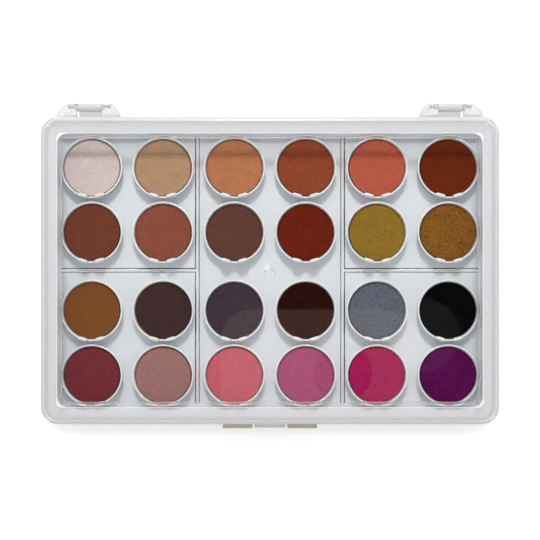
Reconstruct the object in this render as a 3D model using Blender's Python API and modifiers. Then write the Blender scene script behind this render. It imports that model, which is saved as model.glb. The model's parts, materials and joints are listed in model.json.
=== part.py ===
"""Gouache paint set: a clear hinged case, a white tray insert and 24 pans of paint.

Units are metres and +Z is up. The origin is the centre of the case's underside, the hinges are at +Y
and the latch is at -Y. Rows of pans are lettered a to d from the hinges, columns are numbered 1 to 6.
"""

import math

import bmesh
import bpy
from mathutils import Matrix, Vector

# Pans: round cups with a bead round the rim and two gripping lugs at the front
PAN_DIAMETER = 0.0311
PAN_HEIGHT = 0.0068
PAN_RIM_WIDTH = 0.0010
PAN_BEAD_HEIGHT = 0.0012
PAN_BEAD_STEP = 0.0004
PAN_FOOT_INSET = 0.0010
PAN_FLOOR = 0.0010
PAN_INNER_DRAFT = 0.0007
LUG_WIDTH = 0.0044
LUG_SPACING = 0.0086
LUG_HEIGHT = 0.0029
LUG_DEPTH = 0.0010

# Paint cakes
CAKE_RECESS = 0.0012
CAKE_CLEARANCE = 0.0002

# The field of pans: six columns, and two pairs of rows with a wider gap between the pairs
COLUMN_COUNT = 6
PAN_GAP_X = 0.0049
PAN_GAP_Y = 0.0016
MIDDLE_GAP = 0.0083

# Tray insert: a moulded white basin with a turned-down rim and a shallow pocket under each pan
BASIN_MARGIN = 0.0005
BASIN_SLOPE = 0.0015
BASIN_CORNER = 0.0030
BASIN_FILLET = 0.0012
INSERT_RIM_WIDTH = 0.0047
INSERT_HEIGHT = 0.0078
INSERT_FLOOR = 0.0024
INSERT_SKIN = 0.0012
INSERT_EDGE_FILLET = 0.0007
INSERT_CLEARANCE = 0.0004
POCKET_DEPTH = 0.0012
POCKET_CLEARANCE = 0.0003
DIMPLE_DIAMETER = 0.0057
DIMPLE_DEPTH = 0.0004
DIMPLE_OFFSET = 0.0012

# Clear case: a base with a lip, and a lid whose rabbeted skirt closes over the lip
CASE_WALL = 0.0015
CASE_CORNER = 0.0085
BASE_HEIGHT = 0.0110
BASE_FILLET = 0.0024
LIP_HEIGHT = 0.0018
LIP_CLEARANCE = 0.00025
RABBET_SKIN = 0.0006
RABBET_HEADROOM = 0.0004
SEAT_GAP = 0.0003
LID_HEIGHT = 0.0071
LID_FILLET = 0.0026

# Raised panel of the lid, with a hollow cove all round it and ribs beneath
PANEL_MARGIN = 0.0002
PANEL_COVE = 0.0027
PANEL_RISE = 0.0006
PANEL_CORNER = 0.0030
RIB_ROOT = 0.0017
RIB_TIP = 0.0011
RIB_HEIGHT = 0.0020
GATE_DIAMETER = 0.0030
GATE_DEPTH = 0.0003
GATE_OFFSET = 0.0014

# Hinges: stub pins on the base's barrels turn in sockets of the lid's ears
HINGE_INSET = 0.0236
HINGE_STANDOFF = 0.0058
BARREL_LENGTH = 0.0121
BARREL_RADIUS = 0.0020
LEAF_THICKNESS = 0.0016
PIN_RADIUS = 0.0011
PIN_LENGTH = 0.0042
SOCKET_CLEARANCE = 0.0001
SOCKET_END_GAP = 0.0004
EAR_GAP = 0.0003
EAR_RADIUS = 0.0021
EAR_WIDTH = 0.0095
EAR_FLAT = 0.0026
EAR_ROOT_HEIGHT = 0.0042
KNUCKLE_START = math.radians(-150)
KNUCKLE_END = math.radians(90)

# Snap latch: a tongue on the lid between two finger ledges on the base
TONGUE_WIDTH = 0.0156
TONGUE_THICKNESS = 0.0009
TONGUE_STANDOFF = 0.0005
TONGUE_ROOT = 0.0034
TONGUE_DROP = 0.0060
THUMB_REACH = 0.0013
THUMB_HEIGHT = 0.0010
SNAP_HEIGHT = 0.0002
SNAP_LENGTH = 0.0010
SNAP_GAP = 0.0002
LEDGE_WIDTH = 0.0150
LEDGE_REACH = 0.0027
LEDGE_HEIGHT = 0.0038
LEDGE_DROP = 0.0004
LEDGE_GAP = 0.0010
LEDGE_CHAMFER = 0.0004

# How far a joined piece runs into its neighbour, and how far a cutter runs past what it cuts
JOIN = 0.0005
OVERRUN = 0.0010

PAN_SEGMENTS = 20
CORNER_SEGMENTS = 6
FILLET_SEGMENTS = 3
ROUND_SHARE = 0.5
HOLLOW_SHARE = 0.06
PIN_SEGMENTS = 16
LUG_SEGMENTS = 4
KNUCKLE_SEGMENTS = 10
MERGE = 0.00001
SHARP_ANGLE = math.radians(35)

# Sizes that follow from those above
pan_radius = PAN_DIAMETER / 2
pan_inner_radius = pan_radius - PAN_RIM_WIDTH
pitch_x = PAN_DIAMETER + PAN_GAP_X
pitch_y = PAN_DIAMETER + PAN_GAP_Y
middle_pitch = PAN_DIAMETER + MIDDLE_GAP
row_places = [middle_pitch / 2 + pitch_y, middle_pitch / 2, -middle_pitch / 2, -middle_pitch / 2 - pitch_y]
field_half_x = (COLUMN_COUNT - 1) / 2 * pitch_x + pan_radius
field_half_y = row_places[0] + pan_radius

insert_reach = BASIN_MARGIN + BASIN_SLOPE + INSERT_RIM_WIDTH
case_reach = insert_reach + INSERT_CLEARANCE + CASE_WALL
case_half_x = field_half_x + case_reach
case_half_y = field_half_y + case_reach

insert_bottom = CASE_WALL + SEAT_GAP
insert_floor_top = insert_bottom + INSERT_FLOOR
insert_top = insert_bottom + INSERT_HEIGHT
pocket_bottom = insert_floor_top - POCKET_DEPTH
pan_bottom = pocket_bottom + SEAT_GAP
lid_bottom = BASE_HEIGHT + SEAT_GAP
shoulder_top = lid_bottom + LID_HEIGHT
panel_top = shoulder_top + PANEL_RISE
panel_half_x = field_half_x + PANEL_MARGIN
panel_half_y = field_half_y + PANEL_MARGIN
panel_inner_x = panel_half_x - PANEL_COVE
panel_inner_y = panel_half_y - PANEL_COVE
hinge_x = case_half_x - HINGE_INSET
hinge_y = case_half_y + HINGE_STANDOFF
hinge_z = BASE_HEIGHT + SEAT_GAP / 2

# Colours are sRGB hex values
CLEAR_COLOUR = "EEF0F0"
WHITE_COLOUR = "E6E8EA"

# The 24 paints, in the order of their pans from the back left one
PAINTS = {
    "rose_white": "D0C4BE", "sand": "B08C70", "apricot_ochre": "B87858",
    "terracotta": "904830", "brick_pink": "B85C48", "burnt_sienna": "68301C",
    "light_umber": "704030", "rosewood": "885040", "cocoa": "603C34",
    "english_red": "682818", "olive_ochre": "907030", "raw_sienna": "805824",
    "golden_umber": "7C5030", "dark_umber": "403030", "aubergine_grey": "403440",
    "bitter_chocolate": "301814", "slate_grey": "646870", "black": "080C0C",
    "wine_red": "703038", "dusty_pink": "986C6C", "coral_pink": "C06068",
    "heather_pink": "B0587C", "magenta": "A82C60", "violet": "541448",
}


def clear_scene():
    for obj in list(bpy.data.objects):
        bpy.data.objects.remove(obj)


def make_collection(name):
    collection = bpy.data.collections.new(name)
    bpy.context.scene.collection.children.link(collection)
    return collection


def linear_rgba(hex_colour):
    channels = [int(hex_colour[i:i + 2], 16) / 255 for i in (0, 2, 4)]
    linear = [((c + 0.055) / 1.055) ** 2.4 if c > 0.04045 else c / 12.92 for c in channels]
    return (*linear, 1)


def make_material(name, hex_colour, roughness, transmission=0.0):
    material = bpy.data.materials.new(name)
    material.use_nodes = True
    shader = material.node_tree.nodes["Principled BSDF"]
    shader.inputs["Base Color"].default_value = linear_rgba(hex_colour)
    shader.inputs["Roughness"].default_value = roughness
    shader.inputs["Metallic"].default_value = 0
    shader.inputs["Transmission Weight"].default_value = transmission
    return material


def add_object(name, mesh, collection, location=(0, 0, 0)):
    obj = bpy.data.objects.new(name, mesh)
    obj.location = location
    collection.objects.link(obj)
    return obj


def evaluated_mesh(obj, name):
    """The mesh that an object's modifiers make, as a mesh of its own."""
    bpy.context.view_layer.update()
    graph = bpy.context.evaluated_depsgraph_get()
    mesh = bpy.data.meshes.new_from_object(obj.evaluated_get(graph))
    mesh.name = name
    return mesh


def make_tool(name, mesh):
    """A helper that only cuts or joins: drawn as wire and left out of renders."""
    obj = add_object(name, mesh, tools)
    obj.hide_render = True
    obj.display_type = "WIRE"
    return obj


def combine(obj, operation, tool):
    modifier = obj.modifiers.new(f"{operation.title()} {tool.name}", "BOOLEAN")
    modifier.operation = operation
    modifier.solver = "EXACT"
    modifier.object = tool


def to_mesh(bm, name):
    mesh = bpy.data.meshes.new(name)
    bm.to_mesh(mesh)
    bm.free()
    return mesh


def edges_at(bm, height):
    return [e for e in bm.edges if all(abs(v.co.z - height) < MERGE for v in e.verts)]


def plain_block(name, low, high):
    """A block between two opposite corners."""
    size = Vector(high) - Vector(low)
    bm = bmesh.new()
    bmesh.ops.create_cube(bm, size=1)
    bmesh.ops.scale(bm, vec=size, verts=bm.verts)
    bmesh.ops.translate(bm, vec=Vector(low) + size / 2, verts=bm.verts)
    return to_mesh(bm, name)


def rounded_block(
    name, half_x, half_y, low, high, corner, top_fillet=0, bottom_fillet=0, flare=0, profile=ROUND_SHARE
):
    """A block with rounded upright corners. Flare moves the top outline outwards on every side."""
    bm = bmesh.new()
    bmesh.ops.create_cube(bm, size=1)
    bmesh.ops.scale(bm, vec=(2 * half_x, 2 * half_y, high - low), verts=bm.verts)
    bmesh.ops.translate(bm, vec=(0, 0, (high + low) / 2), verts=bm.verts)
    upright = [e for e in bm.edges if abs(e.verts[0].co.z - e.verts[1].co.z) > MERGE]
    bmesh.ops.bevel(
        bm, geom=upright, offset=corner, segments=CORNER_SEGMENTS, profile=ROUND_SHARE, affect="EDGES"
    )
    for height, fillet in ((high, top_fillet), (low, bottom_fillet)):
        if fillet:
            bmesh.ops.bevel(
                bm, geom=edges_at(bm, height), offset=fillet, segments=FILLET_SEGMENTS,
                profile=profile, affect="EDGES",
            )
    for vertex in bm.verts:
        if vertex.co.z > high - MERGE:
            vertex.co.x += flare * math.copysign(1, vertex.co.x)
            vertex.co.y += flare * math.copysign(1, vertex.co.y)
    return to_mesh(bm, name)


def cylinder(name, radius, start, end, segments):
    """A cylinder between two points on one line."""
    start, end = Vector(start), Vector(end)
    along = end - start
    turn = along.to_track_quat("Z", "Y").to_matrix().to_4x4()
    bm = bmesh.new()
    bmesh.ops.create_cone(
        bm, cap_ends=True, segments=segments, radius1=radius, radius2=radius, depth=along.length
    )
    bmesh.ops.transform(bm, matrix=Matrix.Translation((start + end) / 2) @ turn, verts=bm.verts)
    return to_mesh(bm, name)


def prism(name, outline, half_width, matrix):
    """A filled 2D curve, extruded half_width each way, welded into a closed mesh and put in place."""
    curve = bpy.data.curves.new(name, "CURVE")
    curve.dimensions = "2D"
    curve.fill_mode = "BOTH"
    curve.extrude = half_width
    spline = curve.splines.new("POLY")
    spline.points.add(len(outline) - 1)
    for point, (across, up) in zip(spline.points, outline):
        point.co = (across, up, 0, 1)
    spline.use_cyclic_u = True
    guide = add_object(name + "_curve", curve, tools)
    bm = bmesh.new()
    bm.from_mesh(evaluated_mesh(guide, name))
    bpy.data.objects.remove(guide)
    bmesh.ops.remove_doubles(bm, verts=bm.verts, dist=MERGE)
    bmesh.ops.recalc_face_normals(bm, faces=bm.faces)
    bmesh.ops.transform(bm, matrix=matrix, verts=bm.verts)
    return to_mesh(bm, name)


def side_view(centre_x):
    """Places an outline of (y, z) points upright, square to the X axis at centre_x."""
    return Matrix(((0, 0, 1, centre_x), (1, 0, 0, 0), (0, 1, 0, 0), (0, 0, 0, 1)))


def front_view():
    """Places an outline of (x, z) points upright, square to the Y axis at the origin."""
    return Matrix(((1, 0, 0, 0), (0, 0, -1, 0), (0, 1, 0, 0), (0, 0, 0, 1)))


def turned(name, profile):
    """A profile of (radius, height) points, listed from the top, turned about the Z axis."""
    mesh = bpy.data.meshes.new(name)
    points = [(radius, 0, height) for radius, height in profile]
    mesh.from_pydata(points, [(i, i + 1) for i in range(len(points) - 1)], [])
    obj = make_tool(name, mesh)
    screw = obj.modifiers.new("Turn", "SCREW")
    screw.axis = "Z"
    screw.steps = PAN_SEGMENTS
    screw.render_steps = PAN_SEGMENTS
    screw.use_merge_vertices = True
    screw.merge_threshold = MERGE
    return obj


def finish(mesh, material):
    mesh.materials.clear()
    mesh.materials.append(material)
    mesh.shade_smooth()
    mesh.set_sharp_from_angle(angle=SHARP_ANGLE)


def pan_places():
    """The name and centre of each pan, from the back left one."""
    for letter, y in zip("abcd", row_places):
        for column in range(COLUMN_COUNT):
            x = (column - (COLUMN_COUNT - 1) / 2) * pitch_x
            yield f"{letter}{column + 1}", x, y


def pan_body_radius(height):
    """Outer radius of the cup under its bead, which narrows evenly to the foot."""
    body_height = PAN_HEIGHT - PAN_BEAD_HEIGHT
    share = (body_height - height) / body_height
    return pan_radius - PAN_BEAD_STEP - share * PAN_FOOT_INSET


def pan_inside_radius(height):
    """Inner radius of the cup, which narrows evenly from the rim to the floor."""
    share = (PAN_HEIGHT - height) / (PAN_HEIGHT - PAN_FLOOR)
    return pan_inner_radius - share * PAN_INNER_DRAFT


def lug_outline():
    """A lug seen from the front: half an oval that stands on the rim."""
    turn = math.radians(180) / LUG_SEGMENTS
    half = LUG_WIDTH / 2
    low = PAN_HEIGHT - JOIN
    oval = [(half * math.cos(step * turn), PAN_HEIGHT + LUG_HEIGHT * math.sin(step * turn))
            for step in range(LUG_SEGMENTS + 1)]
    return [*oval, (-half, low), (half, low)]


def make_cup_mesh():
    """One cup: a turned wall and floor, with two lugs on the rim at the front to lift it by."""
    bead_bottom = PAN_HEIGHT - PAN_BEAD_HEIGHT
    cup = turned("cup_wall", [
        (0, PAN_FLOOR),
        (pan_inside_radius(PAN_FLOOR), PAN_FLOOR),
        (pan_inner_radius, PAN_HEIGHT),
        (pan_radius, PAN_HEIGHT),
        (pan_radius, bead_bottom),
        (pan_body_radius(bead_bottom), bead_bottom),
        (pan_body_radius(0), 0),
        (0, 0),
    ])
    flat_radius = pan_radius * math.cos(math.pi / PAN_SEGMENTS)
    lug_radius = math.sqrt(flat_radius ** 2 - (LUG_WIDTH / 2) ** 2) - LUG_DEPTH / 2
    for side in (-1, 1):
        lug = prism("lug", lug_outline(), LUG_DEPTH / 2, front_view())
        angle = side * math.asin(LUG_SPACING / 2 / lug_radius)
        lug.transform(Matrix.Rotation(angle, 4, "Z") @ Matrix.Translation((0, -lug_radius, 0)))
        combine(cup, "UNION", make_tool(f"lug_{side}", lug))
    return evaluated_mesh(cup, "pan_cup")


def make_cake_mesh():
    """One cake of paint: a disc that fills the cup to a little below its rim."""
    low = PAN_FLOOR + SEAT_GAP
    high = PAN_HEIGHT - CAKE_RECESS
    cake = turned("cake", [
        (0, high),
        (pan_inside_radius(high) - CAKE_CLEARANCE, high),
        (pan_inside_radius(low) - CAKE_CLEARANCE, low),
        (0, low),
    ])
    return evaluated_mesh(cake, "paint_cake")


def make_pans(cup_material):
    """24 cups, each holding its own cake. The cups share one mesh, and each cake has its own colour."""
    cup_mesh = make_cup_mesh()
    finish(cup_mesh, cup_material)
    cake_mesh = make_cake_mesh()
    for (place, x, y), (paint, hex_colour) in zip(pan_places(), PAINTS.items()):
        cup = add_object(f"pan_{place}", cup_mesh, model, (x, y, pan_bottom))
        cake = add_object(f"paint_{place}", cake_mesh.copy(), model)
        cake.parent = cup
        finish(cake.data, make_material(f"gouache_{paint}", hex_colour, roughness=0.75))


def make_pockets():
    """The 24 round pockets that the pans stand in, as one cutter."""
    radius = pan_body_radius(POCKET_DEPTH) + POCKET_CLEARANCE
    pockets = bmesh.new()
    for name, x, y in pan_places():
        low, high = (x, y, pocket_bottom), (x, y, insert_floor_top + OVERRUN)
        pockets.from_mesh(cylinder(name, radius, low, high, PAN_SEGMENTS))
    return make_tool("pockets", to_mesh(pockets, "pockets"))


def make_insert(material):
    """The white tray: a basin with sloping sides, hollow under its rim, with a pocket for each pan."""
    half_x, half_y = field_half_x + insert_reach, field_half_y + insert_reach
    corner = CASE_CORNER - CASE_WALL - INSERT_CLEARANCE
    tray = add_object("tray_insert", rounded_block(
        "tray_insert", half_x, half_y, insert_bottom, insert_top, corner, INSERT_EDGE_FILLET
    ), model)

    basin_half_x, basin_half_y = field_half_x + BASIN_MARGIN, field_half_y + BASIN_MARGIN
    slope_per_height = BASIN_SLOPE / (insert_top - insert_floor_top)
    combine(tray, "DIFFERENCE", make_tool("basin", rounded_block(
        "basin", basin_half_x, basin_half_y, insert_floor_top, insert_top + OVERRUN, BASIN_CORNER,
        bottom_fillet=BASIN_FILLET, flare=BASIN_SLOPE + OVERRUN * slope_per_height,
    )))

    rim_hollow = make_tool("rim_hollow", rounded_block(
        "rim_hollow", half_x - INSERT_SKIN, half_y - INSERT_SKIN,
        insert_bottom - OVERRUN, insert_top - INSERT_SKIN, corner - INSERT_SKIN,
    ))
    combine(rim_hollow, "DIFFERENCE", make_tool("basin_core", rounded_block(
        "basin_core", basin_half_x + INSERT_SKIN, basin_half_y + INSERT_SKIN,
        insert_bottom - 2 * OVERRUN, insert_top, BASIN_CORNER + INSERT_SKIN, flare=BASIN_SLOPE,
    )))
    combine(tray, "DIFFERENCE", rim_hollow)
    combine(tray, "DIFFERENCE", make_pockets())
    combine(tray, "DIFFERENCE", make_tool("tray_dimple", cylinder(
        "tray_dimple", DIMPLE_DIAMETER / 2, (0, -DIMPLE_OFFSET, insert_floor_top - DIMPLE_DEPTH),
        (0, -DIMPLE_OFFSET, insert_floor_top + OVERRUN), PIN_SEGMENTS,
    )))
    finish(tray.data, material)


def make_barrel(name, centre):
    """The base's half of a hinge: a barrel with a stub pin at each end, on a leaf from the back wall."""
    def bar(part, radius, half_length):
        start = (centre - half_length, hinge_y, hinge_z)
        end = (centre + half_length, hinge_y, hinge_z)
        return make_tool(part, cylinder(part, radius, start, end, PIN_SEGMENTS))

    half = BARREL_LENGTH / 2
    barrel = bar(name, BARREL_RADIUS, half)
    combine(barrel, "UNION", bar(name + "_pins", PIN_RADIUS, half + PIN_LENGTH))
    leaf_middle = hinge_z - BARREL_RADIUS / 2
    leaf = plain_block(
        name + "_leaf",
        (centre - half + JOIN, case_half_y - JOIN, leaf_middle - LEAF_THICKNESS / 2),
        (centre + half - JOIN, hinge_y, leaf_middle + LEAF_THICKNESS / 2),
    )
    combine(barrel, "UNION", make_tool(name + "_leaf", leaf))
    return barrel


def ear_side_outline():
    """An ear seen from the side: an arm from the lid's back wall that ends in a round knuckle."""
    wall = case_half_y - JOIN
    turn = (KNUCKLE_END - KNUCKLE_START) / KNUCKLE_SEGMENTS
    arc = [KNUCKLE_START + step * turn for step in range(KNUCKLE_SEGMENTS + 1)]
    knuckle = [(hinge_y + EAR_RADIUS * math.cos(a), hinge_z + EAR_RADIUS * math.sin(a)) for a in arc]
    clear_of_base = (case_half_y + SEAT_GAP, lid_bottom)
    return [(wall, lid_bottom), clear_of_base, *knuckle, (wall, lid_bottom + EAR_ROOT_HEIGHT)]


def ear_plan_outline(centre, side):
    """An ear seen from above: straight towards the barrel, and a quarter round away from it."""
    inner = BARREL_LENGTH / 2 + EAR_GAP
    wall = case_half_y - JOIN
    reach = JOIN + HINGE_STANDOFF + EAR_RADIUS
    turn = math.radians(90) / CORNER_SEGMENTS
    arc = [math.radians(90) - step * turn for step in range(CORNER_SEGMENTS + 1)]
    rounded = [
        (inner + EAR_FLAT + (EAR_WIDTH - EAR_FLAT) * math.cos(a), wall + reach * math.sin(a)) for a in arc
    ]
    outline = [(inner, wall), (inner, wall + reach), *rounded]
    return [(centre + side * across, back) for across, back in outline]


def make_ear(name, centre, side):
    """The lid's half of a hinge: an ear beside the barrel, with a blind socket for the stub pin."""
    inner = BARREL_LENGTH / 2 + EAR_GAP
    middle = centre + side * (inner + EAR_WIDTH / 2)
    side_shape = prism(name, ear_side_outline(), EAR_WIDTH / 2 + OVERRUN, side_view(middle))
    ear = make_tool(name, side_shape)
    half_height = shoulder_top / 2
    plan = prism(name + "_plan", ear_plan_outline(centre, side), half_height,
                 Matrix.Translation((0, 0, half_height)))
    combine(ear, "INTERSECT", make_tool(name + "_plan", plan))
    socket_end = BARREL_LENGTH / 2 + PIN_LENGTH + SOCKET_END_GAP
    combine(ear, "DIFFERENCE", make_tool(name + "_socket", cylinder(
        name + "_socket", PIN_RADIUS + SOCKET_CLEARANCE,
        (centre + side * (inner - OVERRUN), hinge_y, hinge_z),
        (centre + side * socket_end, hinge_y, hinge_z), PIN_SEGMENTS,
    )))
    return ear


def front_outline(points):
    """Turns (distance in front of the front wall, height) into (y, z)."""
    return [(-case_half_y - out, height) for out, height in points]


def snap_middle():
    """Height at which the catch on the base meets the bump on the tongue."""
    return lid_bottom - TONGUE_DROP + THUMB_HEIGHT + SNAP_LENGTH + SNAP_GAP


def ledge_outline():
    """A ledge from the side: a flat top with a chamfered edge, on a sloping underside."""
    top = BASE_HEIGHT - LEDGE_DROP
    return front_outline([
        (-JOIN, top),
        (LEDGE_REACH - LEDGE_CHAMFER, top),
        (LEDGE_REACH, top - LEDGE_CHAMFER),
        (LEDGE_REACH, top - LEDGE_HEIGHT + LEDGE_REACH / 2),
        (-JOIN, top - LEDGE_HEIGHT),
    ])


def catch_outline():
    """The catch on the front wall, steep below and gentle above."""
    low = snap_middle() + SNAP_GAP / 2
    return front_outline([
        (-JOIN, low + SNAP_LENGTH),
        (0, low + SNAP_LENGTH),
        (SNAP_HEIGHT, low + SNAP_LENGTH / 2),
        (SNAP_HEIGHT, low + SNAP_LENGTH / 4),
        (0, low),
        (-JOIN, low),
    ])


def tongue_outline():
    """The tongue from the side: a root on the skirt, a drop past the base, a bump and a thumb edge."""
    inner = TONGUE_STANDOFF
    outer = TONGUE_STANDOFF + TONGUE_THICKNESS
    root_top = lid_bottom + TONGUE_ROOT
    bottom = lid_bottom - TONGUE_DROP
    thumb_top = bottom + THUMB_HEIGHT
    bump_top = snap_middle() - SNAP_GAP / 2
    return front_outline([
        (-JOIN, root_top),
        (0, root_top),
        (outer, root_top - outer),
        (outer, thumb_top + THUMB_REACH / 2),
        (outer + THUMB_REACH, thumb_top),
        (outer + THUMB_REACH, bottom),
        (inner, bottom),
        (inner, bump_top - SNAP_LENGTH),
        (inner - SNAP_HEIGHT, bump_top - SNAP_LENGTH / 2),
        (inner - SNAP_HEIGHT, bump_top - SNAP_LENGTH / 4),
        (inner, bump_top),
        (inner, lid_bottom + SEAT_GAP),
        (-JOIN, lid_bottom + SEAT_GAP),
    ])


def make_base(material):
    """The lower half of the case: floor, walls, lip, two hinge barrels, two ledges and the catch."""
    base = add_object("base_case", rounded_block(
        "base_case", case_half_x, case_half_y, 0, BASE_HEIGHT, CASE_CORNER, bottom_fillet=BASE_FILLET
    ), model)
    lip_inset = RABBET_SKIN + LIP_CLEARANCE
    lip_top = BASE_HEIGHT + LIP_HEIGHT
    combine(base, "UNION", make_tool("lip", rounded_block(
        "lip", case_half_x - lip_inset, case_half_y - lip_inset,
        BASE_HEIGHT - JOIN, lip_top, CASE_CORNER - lip_inset,
    )))
    combine(base, "DIFFERENCE", make_tool("base_inside", rounded_block(
        "base_inside", case_half_x - CASE_WALL, case_half_y - CASE_WALL,
        CASE_WALL, lip_top + OVERRUN, CASE_CORNER - CASE_WALL, bottom_fillet=BASE_FILLET - CASE_WALL,
    )))
    for hinge, centre in (("left", -hinge_x), ("right", hinge_x)):
        combine(base, "UNION", make_barrel(f"barrel_{hinge}", centre))
    ledge_centre = TONGUE_WIDTH / 2 + LEDGE_GAP + LEDGE_WIDTH / 2
    for side in (-1, 1):
        ledge = prism("ledge", ledge_outline(), LEDGE_WIDTH / 2, side_view(side * ledge_centre))
        combine(base, "UNION", make_tool(f"ledge_{side}", ledge))
    catch = prism("catch", catch_outline(), TONGUE_WIDTH / 2, side_view(0))
    combine(base, "UNION", make_tool("catch", catch))
    finish(base.data, material)


def panel_block():
    """The raised panel: a block with a hollow fillet along its top edge, flattened to the panel's rise."""
    block = rounded_block(
        "panel", panel_half_x, panel_half_y, -PANEL_COVE, PANEL_COVE, PANEL_CORNER,
        top_fillet=PANEL_COVE, profile=HOLLOW_SHARE,
    )
    flatten = Matrix.Diagonal((1, 1, PANEL_RISE / PANEL_COVE, 1))
    block.transform(Matrix.Translation((0, 0, shoulder_top)) @ flatten)
    return block


def rib_outline(middle, panel_bottom):
    """A rib seen from its end. It tapers from its root in the panel to its tip, to leave the mould."""
    tip, top = panel_bottom - RIB_HEIGHT, panel_bottom + JOIN
    return [
        (middle - RIB_ROOT / 2, top), (middle - RIB_ROOT / 2, panel_bottom), (middle - RIB_TIP / 2, tip),
        (middle + RIB_TIP / 2, tip), (middle + RIB_ROOT / 2, panel_bottom), (middle + RIB_ROOT / 2, top),
    ]


def add_ribs(lid, panel_bottom):
    """Ribs under the panel part it into five mixing wells."""
    end_x, end_y = panel_inner_x + JOIN, panel_inner_y + JOIN
    for side in (-1, 1):
        rib_x = side * pitch_x
        long_rib = prism("long_rib", rib_outline(rib_x, panel_bottom), end_y, front_view())
        combine(lid, "UNION", make_tool(f"long_rib_{side}", long_rib))
        middle, half = side * (pitch_x + end_x) / 2, (end_x - pitch_x) / 2
        cross_rib = prism("cross_rib", rib_outline(0, panel_bottom), half, side_view(middle))
        combine(lid, "UNION", make_tool(f"cross_rib_{side}", cross_rib))


def make_lid(material):
    """The upper half of the case: skirt, shoulder, raised panel, ribs, hinge ears and tongue."""
    lid = add_object("lid", rounded_block(
        "lid", case_half_x, case_half_y, lid_bottom, shoulder_top, CASE_CORNER, LID_FILLET
    ), model)
    combine(lid, "UNION", make_tool("panel", panel_block()))
    shoulder_bottom = shoulder_top - CASE_WALL
    combine(lid, "DIFFERENCE", make_tool("lid_inside", rounded_block(
        "lid_inside", case_half_x - CASE_WALL, case_half_y - CASE_WALL,
        lid_bottom - OVERRUN, shoulder_bottom, CASE_CORNER - CASE_WALL, LID_FILLET - CASE_WALL,
    )))
    panel_bottom = panel_top - CASE_WALL
    combine(lid, "DIFFERENCE", make_tool("panel_inside", rounded_block(
        "panel_inside", panel_inner_x, panel_inner_y, shoulder_bottom - JOIN, panel_bottom, PANEL_CORNER,
    )))
    rabbet_top = BASE_HEIGHT + LIP_HEIGHT + RABBET_HEADROOM
    combine(lid, "DIFFERENCE", make_tool("rabbet", rounded_block(
        "rabbet", case_half_x - RABBET_SKIN, case_half_y - RABBET_SKIN,
        lid_bottom - OVERRUN, rabbet_top, CASE_CORNER - RABBET_SKIN,
    )))
    add_ribs(lid, panel_bottom)
    for hinge, centre in (("left", -hinge_x), ("right", hinge_x)):
        for side in (-1, 1):
            combine(lid, "UNION", make_ear(f"ear_{hinge}_{side}", centre, side))
    tongue = prism("tongue", tongue_outline(), TONGUE_WIDTH / 2, side_view(0))
    combine(lid, "UNION", make_tool("tongue", tongue))
    combine(lid, "DIFFERENCE", make_tool("gate_mark", cylinder(
        "gate_mark", GATE_DIAMETER / 2, (-GATE_OFFSET, GATE_OFFSET, panel_top - GATE_DEPTH),
        (-GATE_OFFSET, GATE_OFFSET, panel_top + OVERRUN), PIN_SEGMENTS,
    )))
    axis = Vector((0, hinge_y, hinge_z))
    lid.data.transform(Matrix.Translation(-axis))
    lid.location = axis
    finish(lid.data, material)


clear_scene()
model = make_collection("gouache_paint_set")
tools = make_collection("cutters_and_joiners")
clear_plastic = make_material("clear_polystyrene", CLEAR_COLOUR, roughness=0.08, transmission=0.9)
white_plastic = make_material("white_polystyrene", WHITE_COLOUR, roughness=0.35)

make_base(clear_plastic)
make_insert(white_plastic)
make_pans(white_plastic)
make_lid(clear_plastic)
bpy.context.view_layer.update()
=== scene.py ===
# %% [markdown]
# # A gouache paint set in a clear hinged case
# The real object is a flat box moulded from clear polystyrene. A white tray inside it holds 24 round cups of
# dry gouache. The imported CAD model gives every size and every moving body, and this notebook gives the looks.

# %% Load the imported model
import json
import math

import bmesh
import bpy
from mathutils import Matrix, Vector

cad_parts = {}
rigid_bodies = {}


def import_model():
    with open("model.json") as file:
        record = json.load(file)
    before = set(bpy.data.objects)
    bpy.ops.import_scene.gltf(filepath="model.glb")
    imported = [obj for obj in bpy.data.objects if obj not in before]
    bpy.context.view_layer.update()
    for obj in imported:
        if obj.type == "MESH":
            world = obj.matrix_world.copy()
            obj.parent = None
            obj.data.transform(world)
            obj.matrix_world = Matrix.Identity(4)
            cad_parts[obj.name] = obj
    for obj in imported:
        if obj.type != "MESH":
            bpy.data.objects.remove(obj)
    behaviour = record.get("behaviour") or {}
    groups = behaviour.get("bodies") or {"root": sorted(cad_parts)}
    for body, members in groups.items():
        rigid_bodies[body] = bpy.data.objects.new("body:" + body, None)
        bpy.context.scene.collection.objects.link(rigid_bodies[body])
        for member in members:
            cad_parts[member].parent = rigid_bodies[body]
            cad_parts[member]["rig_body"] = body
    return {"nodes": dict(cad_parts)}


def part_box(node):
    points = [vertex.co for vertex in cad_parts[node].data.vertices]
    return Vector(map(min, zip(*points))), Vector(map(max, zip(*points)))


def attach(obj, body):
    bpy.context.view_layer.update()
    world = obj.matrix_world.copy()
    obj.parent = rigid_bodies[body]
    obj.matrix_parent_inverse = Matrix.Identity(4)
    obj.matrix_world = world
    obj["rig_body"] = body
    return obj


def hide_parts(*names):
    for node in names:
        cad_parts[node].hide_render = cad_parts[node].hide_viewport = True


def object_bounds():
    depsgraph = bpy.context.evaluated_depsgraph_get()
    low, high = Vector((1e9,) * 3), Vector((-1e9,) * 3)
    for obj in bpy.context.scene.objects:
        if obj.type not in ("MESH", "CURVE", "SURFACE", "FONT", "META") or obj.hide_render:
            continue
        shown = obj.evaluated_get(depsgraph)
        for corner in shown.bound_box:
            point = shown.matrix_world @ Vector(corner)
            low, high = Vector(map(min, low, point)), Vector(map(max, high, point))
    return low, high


MM_PER_METRE = 1000


def in_mm(lengths, digits=1):
    """Lengths in millimetres, rounded for printing."""
    return [round(MM_PER_METRE * length, digits) for length in lengths]


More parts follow.
